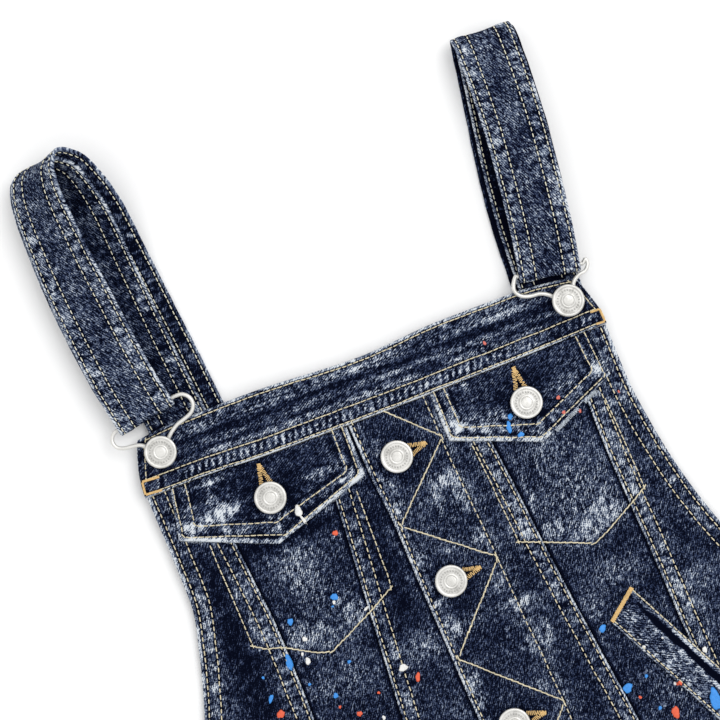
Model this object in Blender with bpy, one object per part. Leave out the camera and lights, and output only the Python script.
"""Denim dungarees laid flat on their back, front up, with both shoulder straps folded forward to the bib.

Every table is in millimetres in the bib's own frame: x to the wearer's left, as seen from the front to the
right, y towards the shoulders, 0 at the middle of the seam under the bib's top band, z up from the surface
that the garment lies on. One empty carries all the pieces and puts the middle of the whole underside at 0.
"""
import math

import bmesh
import bpy
import numpy as np
from mathutils import Vector

MM = 0.001
MIDDLE_X = 20.491
MIDDLE_Y = -526.953

CLOTH = 1.4
GAP = 0.3
FOLDED_CLOTH = 1.8
BACK_CLOTH = 1.5
BAND_CLOTH = 3.0

WAIST_Y = -250.0
WAISTBAND_WIDE = 36.0
LEG_TOP_Y = WAIST_Y - WAISTBAND_WIDE
CROTCH_Y = -540.0
HEM_Y = -1240.0
HEM_WIDE = 14.0
HEM_EXTRA = 1.0
UNDERLAP_SHORT_OF_STITCH = 8.0
WELT_LIFT = 0.3

STRAP_WIDE = 33.0
STRAP_THICK = 2.2
WIRE_RADIUS = 1.1
HAIRPIN_RADIUS = WIRE_RADIUS + GAP + STRAP_THICK / 2
STRAP_PITCH = STRAP_THICK + GAP

BUTTON_RADIUS = 8.5
BUTTON_NECK_RADIUS = 2.5
BUTTON_HEAD = 2.6
PLAIN_NECK = 0.9
HOOK_NECK = 2.9

INDIGO = (0.020, 0.032, 0.078)
DARK_INDIGO = (0.012, 0.018, 0.046)
NICKEL = (0.78, 0.76, 0.72)


class Sections:
    """A table with named columns, read by a smooth curve through its rows that never overshoots them."""

    def __init__(self, names, *rows):
        self.names = names.split()
        self.rows = np.array(sorted(rows), float)

    def at(self, name, where):
        grid = self.rows[:, 0]
        values = self.rows[:, self.names.index(name)]
        rises = np.diff(values) / np.diff(grid)
        before, after = rises[:-1], rises[1:]
        turns = before * after <= 0
        gentle = 2 * before * after / np.where(turns, 1.0, before + after)
        slopes = np.concatenate(([rises[0]], np.where(turns, 0.0, gentle), [rises[-1]]))
        where = np.clip(where, grid[0], grid[-1])
        i = np.clip(np.searchsorted(grid, where) - 1, 0, len(grid) - 2)
        step = grid[i + 1] - grid[i]
        t = (where - grid[i]) / step
        start = (1 + 2 * t) * (1 - t) ** 2 * values[i] + t * (1 - t) ** 2 * step * slopes[i]
        end = t * t * (3 - 2 * t) * values[i + 1] + t * t * (t - 1) * step * slopes[i + 1]
        return start + end


# The bib's edges and upright seams, at heights below the band
BIB = Sections(
    "y    side_l  outer_l inner_l placket_l placket_r inner_r outer_r side_r",
    (0, -130.5, -98.0, -35.5, -16.5, 27.5, 48.0, 107.0, 131.0),
    (-30, -129.3, -95.5, -36.6, -14.8, 29.0, 51.5, 107.3, 132.0),
    (-60, -128.6, -92.5, -38.3, -11.8, 31.5, 55.5, 107.8, 136.0),
    (-90, -134.2, -89.4, -40.2, -10.6, 34.2, 58.8, 109.5, 142.5),
    (-120, -142.6, -88.4, -42.0, -8.8, 36.2, 62.5, 111.5, 152.0),
    (-160, -156.5, -87.6, -44.2, -6.8, 39.5, 68.0, 113.5, 169.5),
    (-200, -170.0, -86.4, -46.3, -4.0, 42.5, 73.8, 116.0, 188.0),
    (-250, -183.0, -84.5, -49.0, -1.0, 46.0, 80.0, 118.5, 207.0),
)

# The top band's outline, from its left end to its right end
BAND = Sections(
    "x     bottom top",
    (-131.5, -1.5, 0.0),
    (-130.5, -1.5, 10.0),
    (-128.0, -1.5, 20.0),
    (-124.5, -1.5, 29.0),
    (-100.0, -1.3, 31.5),
    (-60.0, -2.5, 32.0),
    (0.0, -2.5, 29.6),
    (50.0, -1.6, 32.8),
    (90.0, -0.8, 33.0),
    (123.5, 0.3, 29.5),
    (128.0, 0.4, 19.0),
    (130.6, 0.5, 10.0),
    (131.8, 0.5, 2.0),
)

# The trousers' side edges, the line between the legs, and how far each leg stands off it
TROUSERS = Sections(
    "y    outer_l middle apart outer_r",
    (-250, -183, 15.0, 0, 207),
    (-286, -192, 16.6, 0, 220),
    (-340, -206, 18.2, 0, 240),
    (-400, -220, 19.4, 0, 258),
    (-470, -230, 20.0, 0, 270),
    (-540, -236, 20.0, 0, 277),
    (-570, -237, 20.0, 7.0, 278),
    (-620, -237, 20.0, 15.0, 277),
    (-700, -233, 20.0, 24.0, 273),
    (-850, -223, 20.0, 31.0, 263),
    (-1000, -215, 20.0, 35.0, 255),
    (-1240, -210, 20.0, 37.0, 250),
)

# The back above the waist, which stays just inside the front's outline
BACK = Sections(
    "y    left right",
    (-18, -116, 122),
    (-60, -122, 128),
    (-120, -137, 145),
    (-200, -166, 183),
    (-250, -183, 207),
)
BACK_BAND_BOTTOM = -50.0

# How high the front cloth's underside lies over the surface: at its free edge, and away from it
RISE = Sections(
    "y    edge plateau",
    (40, 5.0, 5.0),
    (0, 5.0, 5.0),
    (-40, 4.2, 4.9),
    (-90, 2.2, 4.5),
    (-160, 1.8, 4.2),
    (-250, 1.8, 4.0),
    (-286, 1.8, 4.0),
    (-540, 1.8, 5.0),
    (-900, 1.8, 4.4),
    (-1240, 1.8, 3.4),
)
EDGE_ROLL = 24.0

# The largest soft folds: a line from one point to another, its half width and its height
FOLDS = (
    ("armhole_l", -164, -192, -128, -238, 13, 1.1),
    ("armhole_r", 180, -190, 138, -240, 13, 1.1),
    ("lap_l", -176, -350, -30, -505, 13, 1.9),
    ("lap_r", 214, -352, 72, -508, 13, 1.9),
    ("seat_l", -190, -420, -40, -560, 15, 1.6),
    ("seat_r", 232, -425, 84, -562, 15, 1.5),
    ("thigh_l", -150, -600, -105, -790, 20, 1.8),
    ("thigh_r", 196, -610, 148, -780, 20, 1.8),
    ("knee_l", -196, -835, -60, -872, 17, 2.2),
    ("knee_r", 100, -865, 236, -838, 17, 2.2),
    ("shin_l", -150, -930, -96, -1110, 18, 1.7),
    ("shin_r", 190, -940, 138, -1120, 18, 1.6),
    ("ankle_l", -184, -1150, -50, -1176, 14, 1.5),
    ("ankle_r", 92, -1172, 222, -1146, 14, 1.5),
)

# Where the pocket flaps' corners and points lie
FLAP_L = {
    "top": (-117.0, -17.6),
    "corner": (-122.5, -17.2),
    "corner_y": (-29.0, -30.5),
    "point": (-73.0, -49.0),
}
FLAP_R = {
    "top": (30.0, 121.5),
    "corner": (31.0, 124.0),
    "corner_y": (-29.0, -25.5),
    "point": (78.0, -47.0),
}

# The slanted hand pockets' welts: two top corners, then how far they run down the slant
WELT_R = {"inner": (78.5, -150.0), "outer": (95.0, -136.0), "down": (48.0, -92.0)}
WELT_L = {"inner": (-59.0, -160.0), "outer": (-77.0, -149.0), "down": (-37.0, -80.0)}

# Buttons: name, x, y
PLACKET_BUTTONS = (("button_1", 2.0, -27.0), ("button_2", 6.0, -99.0), ("button_3", 11.0, -182.0))
FLAP_BUTTONS = (("flap_button_l", -68.5, -24.0), ("flap_button_r", 76.5, -24.0))
STRAP_BUTTONS = (("strap_button_l", -114.5, 19.0), ("strap_button_r", 116.0, 19.0))
WAIST_BUTTON = ("waist_button", 15.8, -268.0)

# Straps, from the sewn end inside the back, over the shoulder fold and down to the hook's bar
STRAP_L = Sections(
    "row x      y     z    yaw  roll",
    (0, -82.5, -48.0, 2.9, 6, 0),
    (1, -86.0, -14.0, 2.9, 6, 0),
    (2, -88.0, 4.0, 1.1, 6, 0),
    (3, -91.5, 33.0, 1.1, 6, 0),
    (4, -95.5, 70.0, 1.1, 6, 0),
    (5, -99.0, 100.0, 1.4, 6, 0),
    (6, -101.5, 125.0, 3.6, 5, 5),
    (7, -103.0, 148.0, 7.4, 4, 17),
    (8, -106.0, 166.0, 11.6, 4, 29),
    (9, -111.5, 178.5, 14.6, 4, 36),
    (10, -119.0, 183.5, 19.4, 4, 38),
    (11, -125.5, 177.5, 24.2, 3, 36),
    (12, -127.8, 162.0, 25.4, 0, 31),
    (13, -126.8, 133.0, 21.8, -2, 20),
    (14, -124.0, 99.0, 17.6, 3, 8),
    (15, -119.6, 62.0, 14.4, 7, 2),
    (16, -115.6, 40.6, 12.5, 11, 0),
)
STRAP_R = Sections(
    "row x      y     z    yaw  roll",
    (0, 100.5, -48.0, 2.9, -4, 0),
    (1, 103.0, -14.0, 2.9, -4, 0),
    (2, 105.0, 4.0, 1.1, -4, 0),
    (3, 107.6, 33.0, 1.1, -3, 0),
    (4, 108.4, 62.0, 1.1, -3, 0),
    (5, 111.5, 95.0, 1.1, -7, 0),
    (6, 116.6, 130.0, 1.1, -8, 0),
    (7, 120.0, 153.0, 1.5, -7, 0),
    (8, 121.3, 163.5, 4.0, -4, 0),
    (9, 121.8, 168.6, 9.4, -2, 0),
    (10, 122.2, 163.0, 14.9, -2, 1),
    (11, 122.3, 148.0, 16.2, -1, 1),
    (12, 121.6, 119.0, 15.6, -3, 0),
    (13, 119.1, 89.0, 15.0, -5, 0),
    (14, 115.9, 60.0, 14.0, -7, 0),
    (15, 112.4, 37.5, 12.5, -1, 0),
)
RETURN_ENDS_AT_ROW = 2.3
RETURN_SLIPS = {"l": -10.0, "r": 3.0}
RETURN_CLOSES_OVER = 1.2

# Hook wires in plan, from the left of the strap round the button's neck to the right of the strap
WIRE_L = (
    (-135.8, 35.8), (-137.0, 32.4), (-135.6, 29.2), (-132.0, 27.5), (-127.5, 27.0),
    (-123.4, 26.0), (-120.2, 23.2), (-118.9, 19.6), (-117.8, 16.2), (-114.5, 14.5), (-111.2, 16.2),
    (-110.1, 19.6), (-109.2, 23.0), (-106.2, 26.4), (-101.5, 29.6), (-96.0, 31.4), (-92.0, 33.4),
    (-89.8, 37.0), (-90.4, 41.0), (-93.6, 43.9),
)
WIRE_R = (
    (92.0, 37.0), (91.3, 33.4), (93.6, 30.0), (98.0, 28.2), (103.4, 27.6),
    (107.6, 25.4), (110.4, 22.4), (111.8, 19.2), (113.0, 16.0), (116.0, 14.5), (119.2, 16.2),
    (120.4, 19.4), (120.8, 23.4), (122.6, 27.4), (126.2, 29.8), (130.4, 30.8), (132.7, 33.6),
    (132.6, 36.4),
)
BAR_PLACES = (18.2, 16.7, 8.0, 0.0, -8.0, -16.7, -18.2)
WIRE_STEPS_EACH = 2


def material(name, colour, roughness, metallic):
    found = bpy.data.materials.get(name)
    if found:
        return found
    made = bpy.data.materials.new(name)
    made.use_nodes = True
    shader = made.node_tree.nodes["Principled BSDF"]
    shader.inputs["Base Color"].default_value = (*colour, 1.0)
    shader.inputs["Roughness"].default_value = roughness
    shader.inputs["Metallic"].default_value = metallic
    made.diffuse_color = (*colour, 1.0)
    return made


def denim():
    return material("denim", INDIGO, 0.9, 0.0)


def denim_inside():
    return material("denim_inside", DARK_INDIGO, 0.95, 0.0)


def nickel():
    return material("nickel", NICKEL, 0.35, 1.0)


def add_object(name, mesh, finish, carrier):
    mesh.materials.append(finish)
    piece = bpy.data.objects.new(name, mesh)
    bpy.context.scene.collection.objects.link(piece)
    piece.parent = carrier
    return piece


def leg_inner(side, y):
    """The edge of a leg beside the other: side is -1 for the left one in view and 1 for the right one."""
    return TROUSERS.at("middle", y) + side * (max(0.0, TROUSERS.at("apart", y)) + GAP / 2)


def edge_distance(x, y):
    """How far a point of the front lies from the nearest free edge."""
    table, left, right = (BIB, "side_l", "side_r") if y > WAIST_Y else (TROUSERS, "outer_l", "outer_r")
    to_sides = min(x - table.at(left, y), table.at(right, y) - x)
    above_crotch = max(0.0, y - CROTCH_Y)
    return min(to_sides, abs(x - TROUSERS.at("middle", y)) - max(0.0, TROUSERS.at("apart", y)) + above_crotch)


def fold_height(x, y):
    """The soft folds' height over the plain cloth."""
    total = 0.0
    for _, x0, y0, x1, y1, half_wide, high in FOLDS:
        along_x, along_y = x1 - x0, y1 - y0
        length_2 = along_x**2 + along_y**2
        t = max(0.0, min(1.0, ((x - x0) * along_x + (y - y0) * along_y) / length_2))
        off = math.hypot(x - x0 - t * along_x, y - y0 - t * along_y)
        fade_at_ends = math.sin(math.pi * (0.1 + 0.8 * t))
        total += high * fade_at_ends * math.exp(-((off / half_wide) ** 2))
    return total


def underside(x, y):
    """The height of the front cloth's underside."""
    edge, plateau = RISE.at("edge", y), RISE.at("plateau", y)
    t = max(0.0, min(1.0, edge_distance(x, y) / EDGE_ROLL))
    rise = math.sin(t * math.pi / 2)
    return edge + (plateau - edge + fold_height(x, y)) * rise


def wall(name, across, down, point, lift, thickness, finish, carrier):
    """One closed piece of cloth over a grid: point(u, v) gives x and y, lift(x, y) its underside."""
    shape = bmesh.new()
    top, bottom = [], []
    for v in down:
        top_row, bottom_row = [], []
        for u in across:
            x, y = point(u, v)
            low = lift(x, y)
            high = low + (thickness(x, y) if callable(thickness) else thickness)
            bottom_row.append(shape.verts.new((x * MM, y * MM, low * MM)))
            top_row.append(shape.verts.new((x * MM, y * MM, high * MM)))
        top.append(top_row)
        bottom.append(bottom_row)
    rows, columns = len(down), len(across)
    for r in range(rows - 1):
        for c in range(columns - 1):
            shape.faces.new((top[r][c], top[r + 1][c], top[r + 1][c + 1], top[r][c + 1]))
            shape.faces.new((bottom[r][c], bottom[r][c + 1], bottom[r + 1][c + 1], bottom[r + 1][c]))
    rim = [(0, c) for c in range(columns)] + [(r, columns - 1) for r in range(1, rows)]
    rim += [(rows - 1, c) for c in range(columns - 2, -1, -1)] + [(r, 0) for r in range(rows - 2, 0, -1)]
    for (r0, c0), (r1, c1) in zip(rim, rim[1:] + rim[:1]):
        shape.faces.new((top[r0][c0], top[r1][c1], bottom[r1][c1], bottom[r0][c0]))
    bmesh.ops.recalc_face_normals(shape, faces=shape.faces)
    mesh = bpy.data.meshes.new(name)
    shape.to_mesh(mesh)
    shape.free()
    mesh.shade_smooth()
    mesh.set_sharp_from_angle(angle=math.radians(40))
    return add_object(name, mesh, finish, carrier)


def steps(count):
    return [i / count for i in range(count + 1)]


def band_bottom(x):
    return BAND.at("bottom", x)


def strip_point(left, right, top_y, bottom_y):
    """A strip between two upright seams: its top follows the band, or is straight where top_y is given."""

    def point(u, v):
        y = bottom_y + (1 - v) * ((0.0 if top_y is None else top_y) - bottom_y)
        x = left(y) + u * (right(y) - left(y))
        if top_y is None:
            y += (1 - v) * (band_bottom(x) - GAP)
        return x, y

    return point


def seam(table, column, shift):
    return lambda y: table.at(column, y) + shift


def bib_panels(carrier):
    """The upright panels of the bib. The inner left one runs on under the placket as its button stand."""
    half = GAP / 2
    panels = (
        ("bib_side_l", seam(BIB, "side_l", 0), seam(BIB, "outer_l", -half), 5),
        ("bib_pocket_l", seam(BIB, "outer_l", half), seam(BIB, "inner_l", -half), 5),
        ("bib_inner_l", seam(BIB, "inner_l", half), seam(BIB, "placket_r", -UNDERLAP_SHORT_OF_STITCH), 5),
        ("bib_inner_r", seam(BIB, "placket_r", half), seam(BIB, "inner_r", -half), 3),
        ("bib_pocket_r", seam(BIB, "inner_r", half), seam(BIB, "outer_r", -half), 5),
        ("bib_side_r", seam(BIB, "outer_r", half), seam(BIB, "side_r", 0), 5),
    )
    for name, left, right, columns in panels:
        point = strip_point(left, right, None, WAIST_Y + half)
        wall(name, steps(columns), steps(20), point, underside, CLOTH, denim(), carrier)


def placket(carrier):
    point = strip_point(seam(BIB, "placket_l", 0), seam(BIB, "placket_r", -GAP / 2), None, WAIST_Y + GAP / 2)
    wall("placket", steps(4), steps(20), point, over_bib, FOLDED_CLOTH, denim(), carrier)


def over_bib(x, y):
    """What lies on a panel starts just above it."""
    return underside(x, y) + CLOTH + GAP


def band(carrier):
    """The bib's top band, a folded strip with ends that slope in."""
    ends = BAND.rows[[0, -1], 0]

    def point(u, v):
        x = ends[0] + u * (ends[1] - ends[0])
        return x, BAND.at("top", x) + v * (BAND.at("bottom", x) - BAND.at("top", x))

    close_at_ends = [0, 0.004, 0.013, 0.027]
    across = close_at_ends + [0.06 + 0.88 * s for s in steps(18)] + [1 - s for s in reversed(close_at_ends)]
    wall("bib_band", across, steps(3), point, lambda x, y: 5.0, BAND_CLOTH, denim(), carrier)


def flap(name, shape, carrier):
    """A pocket flap: straight sides, then a lower edge that runs to a point."""
    left_top, right_top = shape["top"]
    left_low, right_low = shape["corner"]
    left_y, right_y = shape["corner_y"]
    point_x, point_y = shape["point"]
    middle = (point_x - left_low) / (right_low - left_low)

    def point(u, v):
        low_x = left_low + u * (right_low - left_low)
        if u <= middle:
            low_y = left_y + u / middle * (point_y - left_y)
        else:
            low_y = point_y + (u - middle) / (1 - middle) * (right_y - point_y)
        x = left_top + u * (right_top - left_top) + v * (low_x - left_top - u * (right_top - left_top))
        top_y = band_bottom(x) - GAP
        return x, top_y + v * (low_y - top_y)

    across = [middle * s for s in steps(5)] + [middle + (1 - middle) * s for s in steps(5)[1:]]
    wall(name, across, steps(4), point, over_bib, FOLDED_CLOTH, denim(), carrier)


def welt(name, shape, carrier):
    """The strip that closes a slanted hand pocket."""
    (inner_x, inner_y), (outer_x, outer_y) = shape["inner"], shape["outer"]
    down_x, down_y = shape["down"]

    def point(u, v):
        return (
            inner_x + u * (outer_x - inner_x) + v * down_x,
            inner_y + u * (outer_y - inner_y) + v * down_y,
        )

    def lift(x, y):
        return over_bib(x, y) + WELT_LIFT

    wall(name, steps(2), steps(8), point, lift, CLOTH, denim(), carrier)


def on_surface(x, y):
    return 0.0


def hem_thickness(x, y):
    """The turned up hem doubles the cloth."""
    return CLOTH + (HEM_EXTRA if y < HEM_Y + HEM_WIDE else 0.0)


def legs(carrier):
    """Two front legs over two back legs."""
    top = LEG_TOP_Y - GAP / 2
    rows = sorted(set(steps(34)) | {(top - HEM_Y - HEM_WIDE) / (top - HEM_Y)})
    for side, left, right in (
        ("l", seam(TROUSERS, "outer_l", 0), lambda y: leg_inner(-1, y)),
        ("r", lambda y: leg_inner(1, y), seam(TROUSERS, "outer_r", 0)),
    ):
        point = strip_point(left, right, top, HEM_Y)
        wall(f"front_leg_{side}", steps(11), rows, point, underside, hem_thickness, denim(), carrier)
        wall(f"back_leg_{side}", steps(2), steps(24), point, on_surface, BACK_CLOTH, denim_inside(), carrier)


def waistband(carrier):
    sides = seam(TROUSERS, "outer_l", 0), seam(TROUSERS, "outer_r", 0)
    point = strip_point(*sides, WAIST_Y - GAP / 2, LEG_TOP_Y + GAP / 2)
    wall("waistband_front", steps(18), steps(2), point, underside, BAND_CLOTH, denim(), carrier)
    wall("waistband_back", steps(4), steps(2), point, on_surface, BACK_CLOTH, denim_inside(), carrier)


def back(carrier):
    """The back above the waist: a band that the straps are sewn to, and the panel under it."""
    for name, top, bottom, rows in (
        ("back_band", -18.0, BACK_BAND_BOTTOM + GAP / 2, 2),
        ("back_panel", BACK_BAND_BOTTOM - GAP / 2, WAIST_Y + GAP / 2, 10),
    ):
        point = strip_point(seam(BACK, "left", 0), seam(BACK, "right", 0), top, bottom)
        wall(name, steps(4), steps(rows), point, on_surface, BACK_CLOTH, denim_inside(), carrier)


def strap_frame(table, row):
    """A place on the strap's middle surface, its crosswise direction, the way into the loop and the run."""
    here = Vector([table.at(axis, row) for axis in "xyz"])
    ahead = Vector([table.at(axis, min(row + 0.02, table.rows[-1, 0])) for axis in "xyz"])
    behind = Vector([table.at(axis, max(row - 0.02, 0.0)) for axis in "xyz"])
    yaw, roll = math.radians(table.at("yaw", row)), math.radians(table.at("roll", row))
    run = (ahead - behind).normalized()
    across = Vector((math.cos(roll) * math.cos(yaw), math.cos(roll) * math.sin(yaw), math.sin(roll)))
    across = (across - across.dot(run) * run).normalized()
    return here, across, across.cross(run), run


def strap_path(table, slip):
    """Centre and crosswise direction all along: over the shoulder to the bar, round it and back inside."""
    last = table.rows[-1, 0]
    path = [strap_frame(table, row)[:2] for row in np.arange(0, last + 0.01, 0.5)]
    end, across, inward, run = strap_frame(table, last)
    bar = end + inward * HAIRPIN_RADIUS
    for i in range(1, 7):
        turn = math.pi * i / 6
        round_bar = run * math.sin(turn) - inward * math.cos(turn)
        path.append((bar + round_bar * HAIRPIN_RADIUS, across))
    for row in np.arange(last - 0.4, RETURN_ENDS_AT_ROW, -0.5):
        here, across, inward, _ = strap_frame(table, row)
        closing = max(0.0, 1 - (last - row) / RETURN_CLOSES_OVER)
        pitch = STRAP_PITCH + (2 * HAIRPIN_RADIUS - STRAP_PITCH) * closing
        slipped = slip * max(0.0, min(1.0, (last - row) / (last - 4)))
        path.append((here + inward * pitch + across * slipped, across))
    return path, bar, strap_frame(table, last)[1]


def ribbon(name, path, carrier):
    """A flat strip swept along a path, as one closed piece."""
    shape = bmesh.new()
    rings = []
    for i, (centre, across) in enumerate(path):
        run = (path[min(i + 1, len(path) - 1)][0] - path[max(i - 1, 0)][0]).normalized()
        normal = across.cross(run).normalized() * STRAP_THICK / 2
        side = across * STRAP_WIDE / 2
        corners = [centre + side * s + normal for s in (-1, 0, 1)]
        corners += [centre + side * s - normal for s in (1, 0, -1)]
        rings.append([shape.verts.new((c.x * MM, c.y * MM, max(c.z, 0.0) * MM)) for c in corners])
    for ring, following in zip(rings, rings[1:]):
        for i in range(len(ring)):
            j = (i + 1) % len(ring)
            shape.faces.new((ring[i], ring[j], following[j], following[i]))
    shape.faces.new(rings[0])
    shape.faces.new(reversed(rings[-1]))
    bmesh.ops.recalc_face_normals(shape, faces=shape.faces)
    mesh = bpy.data.meshes.new(name)
    shape.to_mesh(mesh)
    shape.free()
    mesh.shade_smooth()
    mesh.set_sharp_from_angle(angle=math.radians(40))
    return add_object(name, mesh, denim(), carrier)


def smooth_loop(points, each):
    """A closed smooth curve through the points."""
    made = []
    for i in range(len(points)):
        p0, p1, p2, p3 = (Vector(points[(i + k - 1) % len(points)]) for k in range(4))
        for k in range(each):
            t = k / each
            bend = 2 * p0 - 5 * p1 + 4 * p2 - p3
            twist = 3 * p1 - p0 - 3 * p2 + p3
            made.append(0.5 * (2 * p1 + (p2 - p0) * t + bend * t**2 + twist * t**3))
    return made


def hook(name, plan, bar, bar_runs, neck_z, carrier):
    """A bent wire: two arms curl in from the bar in the strap's end and close round the button's neck."""
    low = min(y for _, y in plan)
    points = [(x, y, neck_z + (bar.z - neck_z) * min(1.0, (y - low) / 14.0)) for x, y in plan]
    points += [tuple(bar + bar_runs * place) for place in BAR_PLACES]
    curve = bpy.data.curves.new(name, "CURVE")
    curve.dimensions = "3D"
    curve.bevel_depth = WIRE_RADIUS * MM
    curve.bevel_resolution = 2
    spline = curve.splines.new("POLY")
    wire = smooth_loop(points, WIRE_STEPS_EACH)
    spline.points.add(len(wire) - 1)
    for place, point in zip(spline.points, wire):
        place.co = (*(point * MM), 1.0)
    spline.use_cyclic_u = True
    curve.materials.append(nickel())
    piece = bpy.data.objects.new(name, curve)
    bpy.context.scene.collection.objects.link(piece)
    piece.parent = carrier


def button(name, x, y, seat, neck, carrier):
    """A shank button: a neck, then a slightly domed head with a rim, a dished ring and a raised middle."""
    r, head = BUTTON_RADIUS, neck + BUTTON_HEAD
    profile = (
        (0.0, 0.0),
        (BUTTON_NECK_RADIUS, 0.0),
        (BUTTON_NECK_RADIUS, neck),
        (0.93 * r, neck),
        (r, neck + 0.35 * BUTTON_HEAD),
        (0.96 * r, head - 0.5),
        (0.80 * r, head),
        (0.42 * r, head - 0.35),
        (0.34 * r, head + 0.15),
        (0.0, head + 0.3),
    )
    shape = bmesh.new()
    points = [shape.verts.new((px * MM, 0, pz * MM)) for px, pz in profile]
    edges = [shape.edges.new(pair) for pair in zip(points, points[1:])]
    turned = {"cent": (0, 0, 0), "axis": (0, 0, 1), "angle": math.tau, "steps": 16, "use_merge": True}
    bmesh.ops.spin(shape, geom=points + edges, **turned)
    bmesh.ops.remove_doubles(shape, verts=shape.verts, dist=0.00001)
    bmesh.ops.recalc_face_normals(shape, faces=shape.faces)
    mesh = bpy.data.meshes.new(name)
    shape.to_mesh(mesh)
    shape.free()
    mesh.shade_smooth()
    mesh.set_sharp_from_angle(angle=math.radians(40))
    piece = add_object(name, mesh, nickel(), carrier)
    piece.location = (x * MM, y * MM, seat * MM)


def highest_seat(x, y, top):
    """The seat of a button: the highest point of the cloth under its neck, and a gap."""
    r = BUTTON_NECK_RADIUS
    around = [(0, 0)] + [(math.cos(turn) * r, math.sin(turn) * r) for turn in range(6)]
    return max(top(x + dx, y + dy) for dx, dy in around) + GAP


def buttons(carrier):
    def folded_top(x, y):
        return over_bib(x, y) + FOLDED_CLOTH

    for name, x, y in PLACKET_BUTTONS + FLAP_BUTTONS:
        button(name, x, y, highest_seat(x, y, folded_top), PLAIN_NECK, carrier)
    for name, x, y in STRAP_BUTTONS:
        button(name, x, y, 5.0 + BAND_CLOTH + GAP, HOOK_NECK, carrier)
    name, x, y = WAIST_BUTTON
    button(name, x, y, highest_seat(x, y, lambda x, y: underside(x, y) + BAND_CLOTH), PLAIN_NECK, carrier)


def straps(carrier):
    neck_z = 5.0 + BAND_CLOTH + GAP + GAP + WIRE_RADIUS
    for side, table, plan in (("l", STRAP_L, WIRE_L), ("r", STRAP_R, WIRE_R)):
        path, bar, bar_runs = strap_path(table, RETURN_SLIPS[side])
        ribbon(f"strap_{side}", path, carrier)
        hook(f"hook_{side}", plan, bar, bar_runs, neck_z, carrier)


def main():
    for old in list(bpy.data.objects):
        bpy.data.objects.remove(old)
    carrier = bpy.data.objects.new("garment", None)
    bpy.context.scene.collection.objects.link(carrier)
    carrier.location = (-MIDDLE_X * MM, -MIDDLE_Y * MM, 0)
    back(carrier)
    waistband(carrier)
    legs(carrier)
    bib_panels(carrier)
    placket(carrier)
    band(carrier)
    flap("flap_l", FLAP_L, carrier)
    flap("flap_r", FLAP_R, carrier)
    welt("welt_l", WELT_L, carrier)
    welt("welt_r", WELT_R, carrier)
    straps(carrier)
    buttons(carrier)


main()
